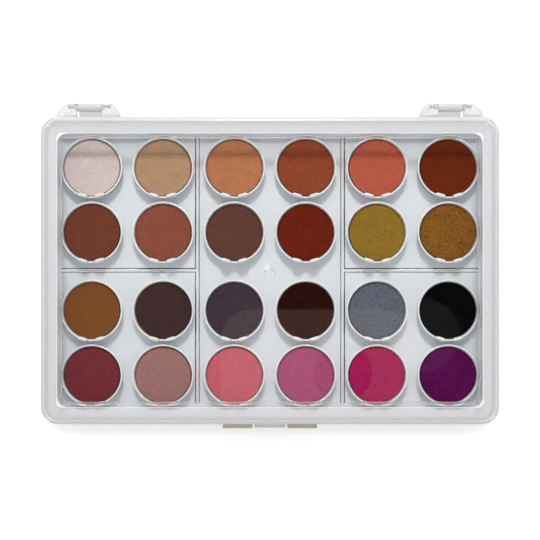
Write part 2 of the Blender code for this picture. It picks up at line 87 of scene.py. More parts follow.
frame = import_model()
cad_low, cad_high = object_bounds()
print("CAD box in mm:", in_mm(cad_high - cad_low))

# %% [markdown]
# ## Helpers
# Colours are written as sRGB hex values, as a painter's swatch card gives them, and Blender's shaders want
# linear light, so one function converts them. One more adds any node with its settings and links.

# %% Colours and nodes
def linear(hex_colour):
    """An sRGB hex value as linear RGBA."""
    channels = [int(hex_colour[i:i + 2], 16) / 255 for i in (0, 2, 4)]
    return [((c + 0.055) / 1.055) ** 2.4 if c > 0.04045 else c / 12.92 for c in channels] + [1]


def add_node(tree, kind, inputs=None, **settings):
    """A node with its settings. An input is a value, or the output socket that feeds it."""
    node = tree.nodes.new(kind)
    for name, value in settings.items():
        setattr(node, name, value)
    for key, value in (inputs or {}).items():
        if isinstance(value, bpy.types.NodeSocket):
            tree.links.new(value, node.inputs[key])
        else:
            node.inputs[key].default_value = value
    return node


print("mid grey 808080 is", round(linear("808080")[0], 3), "in linear light")

# %% [markdown]
# ## Camera
# The photograph looks straight down on the closed case. The camera stands a little off the middle, towards
# the latch, so the picture is shifted up. Its height comes from how far the lid's edges lean outwards. A
# tilted camera could frame the case as well, but it would turn the case's square outline into a wedge.

# %% Camera
PHOTO_PIXELS = 540
FOCAL_PIXELS = 832
PIXELS_BELOW_MIDDLE = 60
SENSOR_WIDTH_MM = 36
CAMERA_AT = (0, -0.0296, 0.430)

camera = bpy.data.objects.new("copy_stand_camera", bpy.data.cameras.new("copy_stand_camera"))
camera.data.sensor_width = SENSOR_WIDTH_MM
camera.data.lens = SENSOR_WIDTH_MM * FOCAL_PIXELS / PHOTO_PIXELS
camera.data.shift_y = PIXELS_BELOW_MIDDLE / PHOTO_PIXELS
camera.location = CAMERA_AT
bpy.context.scene.collection.objects.link(camera)
bpy.context.scene.camera = camera
bpy.context.scene.view_settings.view_transform = "Standard"
print("lens in mm:", round(camera.data.lens, 1))

# %% [markdown]
# ## Tent
# A product photographer lays the case on white paper under a large white tent. The tent is open round the
# camera, so the flat lid mirrors a dark patch and the dark paints stay dark under it. A grey board hangs in
# the opening with a small flap and the lens before it, and the lid mirrors them as a faint warm veil with a
# dark disc in it. Real boards could hang over the model, but they would cast shadows and show in side views.
# Here the world's shader paints them by direction, and only mirrored and refracted rays see them.

# %% A rounded rectangle
def past_corners(tree, point, half, corner):
    """How far a point lies beyond the inner rectangle that a rounded rectangle's corners turn about."""
    inner = (half[0] - corner, half[1] - corner, 0)
    quarter = add_node(tree, "ShaderNodeVectorMath", {0: point}, operation="ABSOLUTE")
    past = add_node(tree, "ShaderNodeVectorMath", {
        0: quarter.outputs["Vector"], 1: inner,
    }, operation="SUBTRACT")
    outside = add_node(tree, "ShaderNodeVectorMath", {
        0: past.outputs["Vector"], 1: (0, 0, 0),
    }, operation="MAXIMUM")
    reach = add_node(tree, "ShaderNodeVectorMath", {0: outside.outputs["Vector"]}, operation="LENGTH")
    return reach.outputs["Value"]


print("a rounded rectangle is drawn from its half size and its corner")

# %% What hangs in the tent's opening
OPENING_FROM, OPENING_TO = 0.90, 0.955
BOARD_AT, BOARD_HALF, BOARD_CORNER = (0.060, -0.073, 0), (0.118, 0.096), 0.036
FLAP_AT, FLAP_RADIUS, FLAP_SHARE = (0.185, -0.006, 0), 0.042, 0.27
LENS_AT, LENS_RADIUS = (0.0877, -0.0517, 0), 0.0337
BLUR = 0.003

world = bpy.data.worlds.new("white_tent")
world.use_nodes = True
bpy.context.scene.world = world
tent = world.node_tree
tent.nodes.clear()
direction = add_node(tent, "ShaderNodeTexCoord").outputs["Generated"]
height = add_node(tent, "ShaderNodeSeparateXYZ", {"Vector": direction}).outputs["Z"]
per_height = add_node(tent, "ShaderNodeMath", {0: 1.0, 1: height}, operation="DIVIDE").outputs["Value"]
sideways = add_node(tent, "ShaderNodeCombineXYZ", {"X": per_height, "Y": per_height}).outputs["Vector"]
slope = add_node(tent, "ShaderNodeVectorMath", {
    0: direction, 1: sideways,
}, operation="MULTIPLY").outputs["Vector"]
from_board = add_node(tent, "ShaderNodeVectorMath", {
    0: slope, 1: BOARD_AT,
}, operation="SUBTRACT").outputs["Vector"]
from_flap, from_lens = (
    add_node(tent, "ShaderNodeVectorMath", {0: slope, 1: middle}, operation="DISTANCE").outputs["Value"]
    for middle in (FLAP_AT, LENS_AT)
)
opening, board, flap, beside_lens = (
    add_node(tent, "ShaderNodeMapRange", {
        "Value": value, "From Min": none_at, "From Max": full_at,
    }, interpolation_type="SMOOTHSTEP").outputs["Result"]
    for value, none_at, full_at in (
        (height, OPENING_FROM, OPENING_TO),
        (past_corners(tent, from_board, BOARD_HALF, BOARD_CORNER), BOARD_CORNER + BLUR, BOARD_CORNER),
        (from_flap, FLAP_RADIUS + BLUR, FLAP_RADIUS),
        (from_lens, LENS_RADIUS, LENS_RADIUS + BLUR),
    )
)
flap = add_node(tent, "ShaderNodeMath", {0: flap, 1: FLAP_SHARE}, operation="MULTIPLY").outputs["Value"]
board = add_node(tent, "ShaderNodeMath", {0: board, 1: flap}, operation="MAXIMUM").outputs["Value"]
board = add_node(tent, "ShaderNodeMath", {0: board, 1: beside_lens}, operation="MULTIPLY").outputs["Value"]
print("the opening is dark within", round(math.degrees(math.acos(OPENING_TO))), "degrees of straight up")

# %% The tent's light
TENT_LEVEL = 0.86
WHITE_LEVEL = 1.0
OPENING_LEVEL = 0.006
BOARD_LEVEL = 0.26
BOARD_TINT = "FFDDC8"
WHITE = (1, 1, 1, 1)
FIRST_COLOUR, SECOND_COLOUR, MIXED_COLOUR = 6, 7, 2

ceiling = add_node(tent, "ShaderNodeMix", {
    "Factor": board, "A": OPENING_LEVEL, "B": BOARD_LEVEL,
}, data_type="FLOAT").outputs["Result"]
mirror_image = add_node(tent, "ShaderNodeMix", {
    "Factor": opening, "A": WHITE_LEVEL, "B": ceiling,
}, data_type="FLOAT").outputs["Result"]
ray = add_node(tent, "ShaderNodeLightPath")
mirrored = add_node(tent, "ShaderNodeMath", {
    0: ray.outputs["Is Glossy Ray"], 1: ray.outputs["Is Transmission Ray"],
}, operation="MAXIMUM").outputs["Value"]
lit = add_node(tent, "ShaderNodeMix", {
    "Factor": mirrored, "A": TENT_LEVEL, "B": mirror_image,
}, data_type="FLOAT").outputs["Result"]
strength = add_node(tent, "ShaderNodeMix", {
    "Factor": ray.outputs["Is Camera Ray"], "A": lit, "B": WHITE_LEVEL,
}, data_type="FLOAT").outputs["Result"]
mirrored_opening = add_node(tent, "ShaderNodeMath", {
    0: mirrored, 1: opening,
}, operation="MULTIPLY").outputs["Value"]
tinted = add_node(tent, "ShaderNodeMath", {
    0: board, 1: mirrored_opening,
}, operation="MULTIPLY").outputs["Value"]
colour = add_node(tent, "ShaderNodeMix", {
    "Factor": tinted, FIRST_COLOUR: WHITE, SECOND_COLOUR: linear(BOARD_TINT),
}, data_type="RGBA").outputs[MIXED_COLOUR]
background = add_node(tent, "ShaderNodeBackground", {"Color": colour, "Strength": strength})
add_node(tent, "ShaderNodeOutputWorld", {"Surface": background.outputs["Background"]})
print("tent level for diffuse light:", TENT_LEVEL)

# %% [markdown]
# ## Softbox
# One softbox stands behind the hinges and throws the cups' short shadows towards the latch. A sun lamp would
# give the same direction, but its shadows would be too sharp. Its own mirror image would be a hot spot in
# the lid that the photograph doesn't have, so glossy rays don't see it.

# %% The softbox
SOFTBOX_ELEVATION = math.radians(51)
SOFTBOX_DISTANCE = 1.1
SOFTBOX_SIZE = 0.20
SOFTBOX_WATTS = 7.6
STRAIGHT_UP = math.radians(90)

softbox = bpy.data.objects.new("softbox", bpy.data.lights.new("softbox", "AREA"))
softbox.data.shape = "SQUARE"
softbox.data.size = SOFTBOX_SIZE
softbox.data.energy = SOFTBOX_WATTS
softbox.location = (
    0, SOFTBOX_DISTANCE * math.cos(SOFTBOX_ELEVATION), SOFTBOX_DISTANCE * math.sin(SOFTBOX_ELEVATION)
)
softbox.rotation_euler = (SOFTBOX_ELEVATION - STRAIGHT_UP, 0, 0)
softbox.visible_glossy = False
bpy.context.scene.collection.objects.link(softbox)
print("softbox at", [round(value, 2) for value in softbox.location])

# %% [markdown]
# ## Paper
# The sheet of paper is matt and white, and reaches far past the picture. More light on it would burn out the
# case as well, so the paper adds a little glow of its own. Only the camera and the mirrored and refracted
# rays see that glow, so it lights nothing, and the case's shadow stays on the sheet.

# %% The paper
PAPER_SIZE = 6.0
PAPER_GAP = 0.00005

half = PAPER_SIZE / 2
corners = [(-half, -half), (half, -half), (half, half), (-half, half)]
paper_mesh = bpy.data.meshes.new("white_paper")
paper_mesh.from_pydata([(x, y, -PAPER_GAP) for x, y in corners], [], [(0, 1, 2, 3)])
paper = bpy.data.objects.new("white_paper", paper_mesh)
bpy.context.scene.collection.objects.link(paper)
print("paper reaches", half, "m each way")

# %% The paper's material
PAPER_WHITE = "EAEAEA"
PAPER_GLOW = 0.345


def new_material(name):
    """A material with an empty tree, and that tree."""
    material = bpy.data.materials.new(name)
    material.use_nodes = True
    material.node_tree.nodes.clear()
    return material, material.node_tree


matt_paper, tree = new_material("matt_white_paper")
diffuse = add_node(tree, "ShaderNodeBsdfDiffuse", {"Color": linear(PAPER_WHITE)})
ray = add_node(tree, "ShaderNodeLightPath")
seen = ray.outputs["Is Camera Ray"]
for kind in ("Is Glossy Ray", "Is Transmission Ray"):
    seen = add_node(tree, "ShaderNodeMath", {
        0: seen, 1: ray.outputs[kind],
    }, operation="MAXIMUM").outputs["Value"]
glow = add_node(tree, "ShaderNodeMath", {0: seen, 1: PAPER_GLOW}, operation="MULTIPLY").outputs["Value"]
emission = add_node(tree, "ShaderNodeEmission", {"Strength": glow})
paper_look = add_node(tree, "ShaderNodeAddShader", {
    0: diffuse.outputs["BSDF"], 1: emission.outputs["Emission"],
})
add_node(tree, "ShaderNodeOutputMaterial", {"Surface": paper_look.outputs["Shader"]})
paper.data.materials.append(matt_paper)
print("the paper reflects", round(linear(PAPER_WHITE)[0], 2), "of the light")

# %% [markdown]
# ## Clear polystyrene
# The case is injection moulded in a polished steel mould, so it is clear and smooth, with an IOR of 1.59.
# Real light shines through it. Cycles would leave the inside in the shade, so shadow rays and diffuse rays
# pass straight through with a small loss, by a Transparent shader that only they see. Caustics could do the
# same, but they are slow and noisy.

# %% Clear polystyrene
POLYSTYRENE_IOR = 1.59
FLOW_WAVES_PER_METRE = 420.0
FLOW_HEIGHT = 0.0008


def clear_polystyrene(name, tint, roughness, passed, clearness=1.0, waviness=0.0):
    """Clear moulded polystyrene. Tint colours what is seen through it, and passed is its shadow's colour."""
    material, tree = new_material(name)
    plastic = add_node(tree, "ShaderNodeBsdfPrincipled", {
        "Base Color": linear(tint), "Roughness": roughness, "IOR": POLYSTYRENE_IOR,
        "Transmission Weight": clearness,
    })
    if waviness:
        place = add_node(tree, "ShaderNodeTexCoord").outputs["Object"]
        flow = add_node(tree, "ShaderNodeTexNoise", {
            "Vector": place, "Scale": FLOW_WAVES_PER_METRE, "Detail": 1.0,
        })
        bump = add_node(tree, "ShaderNodeBump", {
            "Height": flow.outputs["Fac"], "Strength": waviness, "Distance": FLOW_HEIGHT,
        })
        tree.links.new(bump.outputs["Normal"], plastic.inputs["Normal"])
    lamp_way = add_node(tree, "ShaderNodeBsdfTransparent", {"Color": linear(passed)})
    ray = add_node(tree, "ShaderNodeLightPath")
    not_seen = add_node(tree, "ShaderNodeMath", {
        0: ray.outputs["Is Shadow Ray"], 1: ray.outputs["Is Diffuse Ray"],
    }, operation="MAXIMUM")
    mix = add_node(tree, "ShaderNodeMixShader", {
        "Fac": not_seen.outputs["Value"], 1: plastic.outputs["BSDF"], 2: lamp_way.outputs["BSDF"],
    })
    add_node(tree, "ShaderNodeOutputMaterial", {"Surface": mix.outputs["Shader"]})
    return material


print("a clear wall lets through", round(linear("F8F8F8")[0] ** 2, 2), "of a lamp's light")

# %% [markdown]
# ## Finishes of the clear case
# One plastic looks different from place to place. The walls are clear, and the shoulder round the panel is
# faintly frosted. The outer edge is seen through its whole height, so it looks milky, and its grey is also
# painted shade, for the shaded paper and undersides seen down through it. The cove and the ribs' roots bend
# light away and draw dark lines; at the ribs' roots that line is painted shade, a dark grey tint. A gate mark
# is matt, because the sprue was cut off there, and its pale finish is a painted highlight. Hinges and latch
# are thick, so they look grey and yellowish, and the ledges' darker khaki is also painted shade from the
# paper under them. One finish for all would lose each of these.

# %% Finishes of the clear case
clear_wall = clear_polystyrene("clear_polystyrene_wall", "F8F8F8", 0.0, "F8F8F8")
clear_cove = clear_polystyrene("clear_polystyrene_cove", "F8F8F8", 0.0, "383838")
# Painted shade: the ribs' roots get a dark grey tint for the dark lines that the bent light draws there.
rib_root_painted_shade = clear_polystyrene("clear_polystyrene_rib_root_painted_shade", "2C2C30", 0.1, "C0C0C0", 0.2)
# Painted shade: the outer edge's milky grey stands in for the shaded paper and undersides seen down through the
# wall.
edge_with_painted_shade = clear_polystyrene("clear_polystyrene_edge_with_painted_shade", "DCDBDD", 0.30, "DCDCDC", 0.55)
clear_foot = clear_polystyrene("clear_polystyrene_foot", "F8F8F8", 0.0, "A0A0A0")
clear_shoulder = clear_polystyrene("clear_polystyrene_shoulder", "EBEAEC", 0.20, "F0F0F0", 0.75)
# Painted highlight: the gate mark's pale, whitish matt finish stands for the bright spot that light makes
# there.
gate_painted_highlight = clear_polystyrene("clear_polystyrene_gate_painted_highlight", "F4F6F8", 0.55, "F0F0F0", 0.8)
clear_barrel = clear_polystyrene("clear_polystyrene_barrel", "D0CFCE", 0.12, "E8E8E4", 0.5)
clear_ear = clear_polystyrene("clear_polystyrene_ear", "D6D6D3", 0.05, "E8E8E4", 0.85, 0.5)
# The ledges' khaki tint is partly the yellowish colour of thick polystyrene and partly painted shade from the
# paper under them.
ledge_with_painted_shade = clear_polystyrene("clear_polystyrene_ledge_with_painted_shade", "C6BEA4", 0.25, "E0DDCE", 0.5)
clear_tongue = clear_polystyrene("clear_polystyrene_tongue", "C8C5B8", 0.15, "E8E6DE", 0.5)
base_finishes = [clear_wall, edge_with_painted_shade, clear_barrel, ledge_with_painted_shade]
lid_finishes = [
    clear_wall, edge_with_painted_shade, clear_ear, clear_tongue, clear_cove,
    rib_root_painted_shade, gate_painted_highlight, clear_shoulder, clear_foot,
]
print("finishes of the base and of the lid:", len(base_finishes), len(lid_finishes))

# %% [markdown]
# ## Painted highlight round the panel's foot
# A fine matt, paler line round the panel's foot is a painted highlight, for the bright line that light draws
# along the panel's edge there. Its own strip of faces would be a few tenths of a millimetre wide, so the line
# is drawn in the foot's material instead, by the distance to the panel's rounded outline.

# %% The panel's painted highlight line
FOOT_HALF = (0.10575, 0.06815)
FOOT_CORNER = 0.0057
LINE_FROM, LINE_FULL = 0.00050, 0.00025
LINE_FINISH = {"Roughness": (0.0, 0.35), "Transmission Weight": (1.0, 0.35)}


def add_painted_foot_highlight(material):
    """A fine matt, paler line round the panel's foot: a painted highlight."""
    tree = material.node_tree
    plastic = next(node for node in tree.nodes if node.type == "BSDF_PRINCIPLED")
    place = add_node(tree, "ShaderNodeTexCoord").outputs["Object"]
    flat = add_node(tree, "ShaderNodeVectorMath", {0: place, 1: (1, 1, 0)}, operation="MULTIPLY")
    reach = past_corners(tree, flat.outputs["Vector"], FOOT_HALF, FOOT_CORNER)
    for socket, (beside_line, on_line) in LINE_FINISH.items():
        line = add_node(tree, "ShaderNodeMapRange", {
            "Value": reach, "From Min": FOOT_CORNER - LINE_FROM, "From Max": FOOT_CORNER - LINE_FULL,
            "To Min": beside_line, "To Max": on_line,
        })
        tree.links.new(line.outputs["Result"], plastic.inputs[socket])


add_painted_foot_highlight(clear_foot)
print("the matt line fades in", in_mm([LINE_FROM, LINE_FULL], 2), "mm inside the panel's outline")

# %% [markdown]
# ## White polystyrene
# Tray and cups are moulded in white polystyrene with a satin surface. The pigment scatters light inside, so
# they have soft shadows and only a broad sheen. The cups' walls are thin and glow a little, which Subsurface
# gives. The tray is thicker and stands in the cups' shade, so it needs none.

# %% White polystyrene
SATIN_WAVE = 0.00625
SATIN_HEIGHT = 0.00005
SATIN_STRENGTH = 0.15
GLOW_SHARES = (1.0, 0.92, 0.75)


def white_polystyrene(name, colour, roughness, glow_depth=0.0):
    """White pigmented polystyrene with the faint unevenness of a moulded surface. Thin walls glow through."""
    material, tree = new_material(name)
    place = add_node(tree, "ShaderNodeTexCoord").outputs["Object"]
    waves = add_node(tree, "ShaderNodeTexNoise", {"Vector": place, "Scale": 1 / SATIN_WAVE, "Detail": 3.0})
    bump = add_node(tree, "ShaderNodeBump", {
        "Height": waves.outputs["Fac"], "Strength": SATIN_STRENGTH, "Distance": SATIN_HEIGHT,
    })
    plastic = add_node(tree, "ShaderNodeBsdfPrincipled", {
        "Base Color": linear(colour), "Roughness": roughness, "IOR": POLYSTYRENE_IOR,
        "Subsurface Weight": 1.0 if glow_depth else 0.0, "Subsurface Scale": glow_depth,
        "Subsurface Radius": GLOW_SHARES, "Normal": bump.outputs["Normal"],
    })
    add_node(tree, "ShaderNodeOutputMaterial", {"Surface": plastic.outputs["BSDF"]})
    return material


white_tray = white_polystyrene("white_polystyrene_tray", "DFE2E5", 0.38)
white_cup = white_polystyrene("white_polystyrene_cup", "E4E6E8", 0.30, 0.0015)
print("white materials:", white_tray.name, white_cup.name)

# %% [markdown]
# ## Mouldings
# The case halves and the tray keep the CAD's shape. A moulding has no knife-sharp edges, and it is the tiny
# rounded edges that draw the bright lines round a clear box. So a welded copy of each gets a small bevel. The
# ribs meet the panel in a wider fillet, because a sharp inner corner would crack. A weight on each edge says
# how wide it is rounded. The bevel can't slide its new points along flat faces, where they would leave
# streaks.

# %% How wide each edge is rounded
CASE_EDGE = 0.00016
TRAY_EDGE = 0.00030
RIB_FILLET = 0.00030
PANEL_UNDERSIDE = 0.0175
SHARP_FROM = math.radians(32)
SAME_HEIGHT = 0.00001


def share_of_fillet(edge, edge_radius):
    """How wide an edge is rounded, as a share of the fillet at the roots of the ribs."""
    if edge.calc_face_angle() < SHARP_FROM:
        return 0.0
    at_root = all(abs(vertex.co.z - PANEL_UNDERSIDE) < SAME_HEIGHT for vertex in edge.verts)
    return 1.0 if at_root and edge.calc_face_angle_signed() < 0 else edge_radius / RIB_FILLET


print("edges are rounded to, in mm:", in_mm([CASE_EDGE, TRAY_EDGE, RIB_FILLET], 2))

# %% How a moulding is shaded
SQUARE_TO_AXIS = 0.99999


def set_moulded_normals(mesh):
    """Flat walls shade flat, and the rounds beside them start from the flat wall's own normal."""
    mesh.shade_smooth()
    mesh.set_sharp_from_angle(angle=SHARP_FROM)
    normals = [corner.vector.copy() for corner in mesh.corner_normals]
    square = [max(abs(part) for part in face.normal) > SQUARE_TO_AXIS for face in mesh.polygons]
    flats_at = {}
    for face in mesh.polygons:
        if square[face.index]:
            for vertex in face.vertices:
                flats_at.setdefault(vertex, []).append(face.normal.copy())
    for face in mesh.polygons:
        for corner, vertex in zip(face.loop_indices, face.vertices):
            if square[face.index]:
                normals[corner] = face.normal.copy()
                continue
            for flat in flats_at.get(vertex, ()):
                if flat.angle(face.normal) < SHARP_FROM:
                    normals[corner] = flat
    mesh.normals_split_custom_set(normals)


print("walls count as flat within", round(math.degrees(math.acos(SQUARE_TO_AXIS)), 2), "degrees of an axis")

# %% A rounded copy of a CAD mesh
WELD = 0.000002
FLAT_UNDER = math.radians(0.5)
ROUNDING_STEPS = 3


def plain_mesh(maker, name):
    """The mesh that a helper object's modifiers make. The helper is removed."""
    graph = bpy.context.evaluated_depsgraph_get()
    mesh = bpy.data.meshes.new_from_object(maker.evaluated_get(graph))
    mesh.name = name
    bpy.data.objects.remove(maker)
    return mesh


def rounded_mesh(source, name, edge_radius):
    """A welded copy of a CAD mesh with rounded edges, and how many edges were rounded."""
    bm = bmesh.new()
    bm.from_mesh(source)
    bmesh.ops.remove_doubles(bm, verts=bm.verts, dist=WELD)
    bmesh.ops.dissolve_limit(bm, angle_limit=FLAT_UNDER, verts=bm.verts, edges=bm.edges)
    bmesh.ops.triangulate(bm, faces=bm.faces, quad_method="BEAUTY", ngon_method="BEAUTY")
    weight = bm.edges.layers.float.new("bevel_weight_edge")
    for edge in bm.edges:
        edge[weight] = share_of_fillet(edge, edge_radius)
    rounded = sum(edge[weight] > 0 for edge in bm.edges)
    sharp = bpy.data.meshes.new(name + "_sharp")
    bm.to_mesh(sharp)
    bm.free()
    maker = bpy.data.objects.new(name + "_maker", sharp)
    bpy.context.scene.collection.objects.link(maker)
    rounding = maker.modifiers.new("rounded_edges", "BEVEL")
    rounding.width = RIB_FILLET
    rounding.segments = ROUNDING_STEPS
    rounding.limit_method = "WEIGHT"
    rounding.use_clamp_overlap = False
    rounding.loop_slide = False
    return plain_mesh(maker, name), rounded


print("each round has", ROUNDING_STEPS, "steps")

# %% Mouldings from the CAD
def moulded_copy(node, name, edge_radius, materials):
    """A rounded copy of a CAD node, which then stands for it."""
    source = frame["nodes"][node]
    mesh, rounded = rounded_mesh(source.data, name, edge_radius)
    mesh.materials.clear()
    for material in materials:
        mesh.materials.append(material)
    set_moulded_normals(mesh)
    piece = bpy.data.objects.new(name, mesh)
    bpy.context.scene.collection.objects.link(piece)
    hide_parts(node)
    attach(piece, source["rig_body"])
    print(name, "has", len(mesh.polygons), "faces, and", rounded, "of its edges were rounded")
    return piece


base = moulded_copy("base_case", "base_moulding", CASE_EDGE, base_finishes)
lid = moulded_copy("lid", "lid_moulding", CASE_EDGE, lid_finishes)
moulded_copy("tray_insert", "tray_moulding", TRAY_EDGE, [white_tray])

# %% [markdown]
# ## Where each finish lies
# Each face of the case gets its finish by its place and slope, from sizes that the CAD gives. Painting masks
# by hand would do as well, but places in metres stay right when the case's mesh changes.

# %% Borders between the finishes
FRONT_WALL, BACK_WALL = -0.0766, 0.0766
EDGE_WIDTH = 0.0024
SHOULDER_UNDERSIDE, SHOULDER_TOP = 0.0168, 0.0184
FOOT_TOP = 0.01846
PANEL_FOOT = (0.10565, 0.06805)
HINGE_MIDDLE, BARREL_HALF = 0.09055, 0.0061
RIB_PLACE, RIB_REACH = 0.0360, 0.0016
GATE_AT, GATE_REACH = Vector((-0.0014, 0.0014)), 0.0022
LEVEL_SLOPE = 0.9995
FILLET_SLOPES = (0.2, 0.999)
FINISHES = ("wall", "edge", "hinge", "latch", "cove", "rib", "gate", "shoulder", "foot")
WALL, EDGE, HINGE, LATCH, COVE, RIB, GATE, SHOULDER, FOOT = range(len(FINISHES))

case_half_x = cad_high.x
print("the panel's foot in mm:", in_mm([2 * half_length for half_length in PANEL_FOOT]))

# %% Where each clear finish lies
def at_rib_root(place, slope):
    """Whether a face is on the fillet where a rib meets the panel."""
    near_rib = abs(abs(place.x) - RIB_PLACE) < RIB_REACH or abs(place.y) < RIB_REACH
    in_fillet = PANEL_UNDERSIDE - RIB_FILLET < place.z < PANEL_UNDERSIDE
    return near_rib and in_fillet and FILLET_SLOPES[0] < abs(slope) < FILLET_SLOPES[1]


def finish_of(piece, face):
    """Which clear finish a face has, by its place and slope."""
    place, slope = face.center, face.normal.z
    if place.y > BACK_WALL:
        is_pin = abs(abs(place.x) - HINGE_MIDDLE) > BARREL_HALF and piece is base
        return WALL if is_pin else HINGE
    if place.y < FRONT_WALL:
        return LATCH
    if abs(place.x) > case_half_x - EDGE_WIDTH or abs(place.y) > BACK_WALL - EDGE_WIDTH:
        return EDGE
    if place.z > SHOULDER_TOP and (place.xy - GATE_AT).length < GATE_REACH:
        return GATE
    if place.z > SHOULDER_TOP and slope < LEVEL_SLOPE:
        return FOOT if place.z < FOOT_TOP else COVE
    if at_rib_root(place, slope):
        return RIB
    if place.z > SHOULDER_UNDERSIDE and (abs(place.x) > PANEL_FOOT[0] or abs(place.y) > PANEL_FOOT[1]):
        return SHOULDER
    return WALL


for piece in (base, lid):
    counts = dict.fromkeys(FINISHES, 0)
    for face in piece.data.polygons:
        face.material_index = finish_of(piece, face)
        counts[FINISHES[face.material_index]] += 1
    print(piece.name, "faces by finish:", counts)

# %% [markdown]
# ## Geometry trees
# What repeats is made by a Geometry Nodes tree with named inputs, run once for each place. A copied mesh
# would be quicker, but a tree keeps its sizes open to change. Each tree gets a profile as its geometry, and a
# piece's own place as an input, so that the finished object sits at the origin with its place in its mesh.

# %% A turned shape
AXIS_RADIUS = 0.000001
POLE_WELD = 5 * AXIS_RADIUS
CORNER_STEPS = 4


def new_tree(name, inputs):
    """A geometry tree with named inputs, and its Group Input node's outputs."""
    tree = bpy.data.node_groups.new(name, "GeometryNodeTree")
    tree.interface.new_socket("Geometry", in_out="INPUT", socket_type="NodeSocketGeometry")
    tree.interface.new_socket("Geometry", in_out="OUTPUT", socket_type="NodeSocketGeometry")
    for label, kind in inputs.items():
        tree.interface.new_socket(label, in_out="INPUT", socket_type=kind)
    return tree, add_node(tree, "NodeGroupInput").outputs


def turned(tree, profile, segments, corner, cuts=0):
    """Nodes that round a profile's corners and spin it about the Z axis."""
    line = add_node(tree, "GeometryNodeMeshToCurve", {"Mesh": profile}).outputs["Curve"]
    if cuts:
        line = add_node(tree, "GeometryNodeSubdivideCurve", {"Curve": line, "Cuts": cuts}).outputs["Curve"]
    line = add_node(tree, "GeometryNodeFilletCurve", {
        "Curve": line, "Radius": corner, "Count": CORNER_STEPS, "Limit Radius": True,
    }, mode="POLY").outputs["Curve"]
    circle = add_node(tree, "GeometryNodeCurvePrimitiveCircle", {
        "Resolution": segments, "Radius": AXIS_RADIUS,
    }).outputs["Curve"]
    spun = add_node(tree, "GeometryNodeCurveToMesh", {"Curve": circle, "Profile Curve": line}).outputs["Mesh"]
    return add_node(tree, "GeometryNodeMergeByDistance", {
        "Geometry": spun, "Distance": POLE_WELD,
    }).outputs["Geometry"]


print("a profile is spun on a circle of radius", in_mm([AXIS_RADIUS], 3), "mm")

# %% Ending and running a tree
def finish_tree(tree, geometry, place, material):
    """Moves the shape to its place, shades it smooth, realizes its instances and sets its material."""
    moved = add_node(tree, "GeometryNodeTransform", {"Geometry": geometry, "Translation": place})
    smooth = add_node(tree, "GeometryNodeSetShadeSmooth", {"Geometry": moved.outputs["Geometry"]})
    real = add_node(tree, "GeometryNodeRealizeInstances", {"Geometry": smooth.outputs["Geometry"]})
    painted = add_node(tree, "GeometryNodeSetMaterial", {
        "Geometry": real.outputs["Geometry"], "Material": material,
    })
    add_node(tree, "NodeGroupOutput", {"Geometry": painted.outputs["Geometry"]})
    print(tree.name, "has", len(tree.nodes), "nodes")


def evaluate(name, tree, profile, values):
    """Runs a tree on a profile of (radius, height) points and returns the plain mesh object."""
    outline = bpy.data.meshes.new(name + "_profile")
    outline.from_pydata(
        [(radius - AXIS_RADIUS, -height, 0) for radius, height in profile],
        [(i, i + 1) for i in range(len(profile) - 1)], [],
    )
    maker = bpy.data.objects.new(name + "_maker", outline)
    bpy.context.scene.collection.objects.link(maker)
    modifier = maker.modifiers.new(tree.name, "NODES")
    modifier.node_group = tree
    identifiers = {s.name: s.identifier for s in tree.interface.items_tree if s.in_out == "INPUT"}
    for label, value in values.items():
        modifier[identifiers[label]] = value
    maker.update_tag()
    piece = bpy.data.objects.new(name, plain_mesh(maker, name))
    bpy.context.scene.collection.objects.link(piece)
    return piece


print("every tree ends in Realize Instances and Set Material")

# %% [markdown]
# ## Cups
# Each cup is a turned shape: one profile, spun about the upright axis, with a rounded bead at the rim. Two
# soft lugs at the front let a fingernail lift it. They start as blocks that subdivision rounds, because a
# block needs only three sizes. Each is turned to face straight out from the cup's middle.

# %% The cup's tree
LUG_LEVELS = 4
LUG_CREASE = 0.25

cup_tree, given = new_tree("round_cup_with_lugs", {
    "Segments": "NodeSocketInt", "Bead radius": "NodeSocketFloat", "Lug size": "NodeSocketVector",
    "Lug spacing": "NodeSocketFloat", "Lug radius": "NodeSocketFloat", "Lug height": "NodeSocketFloat",
    "Place": "NodeSocketVector", "Material": "NodeSocketMaterial",
})
cup_wall = turned(cup_tree, given["Geometry"], given["Segments"], given["Bead radius"])
to_right, to_left, forward = (
    add_node(cup_tree, "ShaderNodeMath", {0: given[label], 1: share}, operation="MULTIPLY").outputs["Value"]
    for label, share in (("Lug spacing", 0.5), ("Lug spacing", -0.5), ("Lug radius", -1.0))
)
left_place, right_place = (
    add_node(cup_tree, "ShaderNodeCombineXYZ", {"X": across, "Y": forward, "Z": given["Lug height"]})
    for across in (to_left, to_right)
)
lug_places = add_node(cup_tree, "GeometryNodeMeshLine", {
    "Count": 2, "Start Location": left_place.outputs["Vector"], "Offset": right_place.outputs["Vector"],
}, mode="END_POINTS")
block = add_node(cup_tree, "GeometryNodeMeshCube", {"Size": given["Lug size"]})
lug = add_node(cup_tree, "GeometryNodeSubdivisionSurface", {
    "Mesh": block.outputs["Mesh"], "Level": LUG_LEVELS, "Edge Crease": LUG_CREASE,
})
where = add_node(cup_tree, "GeometryNodeInputPosition")
outward = add_node(cup_tree, "ShaderNodeVectorMath", {
    0: where.outputs["Position"], 1: (1, 1, 0),
}, operation="MULTIPLY")
facing = add_node(cup_tree, "FunctionNodeAlignRotationToVector", {
    "Vector": outward.outputs["Vector"],
}, axis="Y", pivot_axis="Z")
lugs = add_node(cup_tree, "GeometryNodeInstanceOnPoints", {
    "Points": lug_places.outputs["Mesh"], "Instance": lug.outputs["Mesh"],
    "Rotation": facing.outputs["Rotation"],
})
whole_cup = add_node(cup_tree, "GeometryNodeJoinGeometry")
cup_tree.links.new(lugs.outputs["Instances"], whole_cup.inputs["Geometry"])
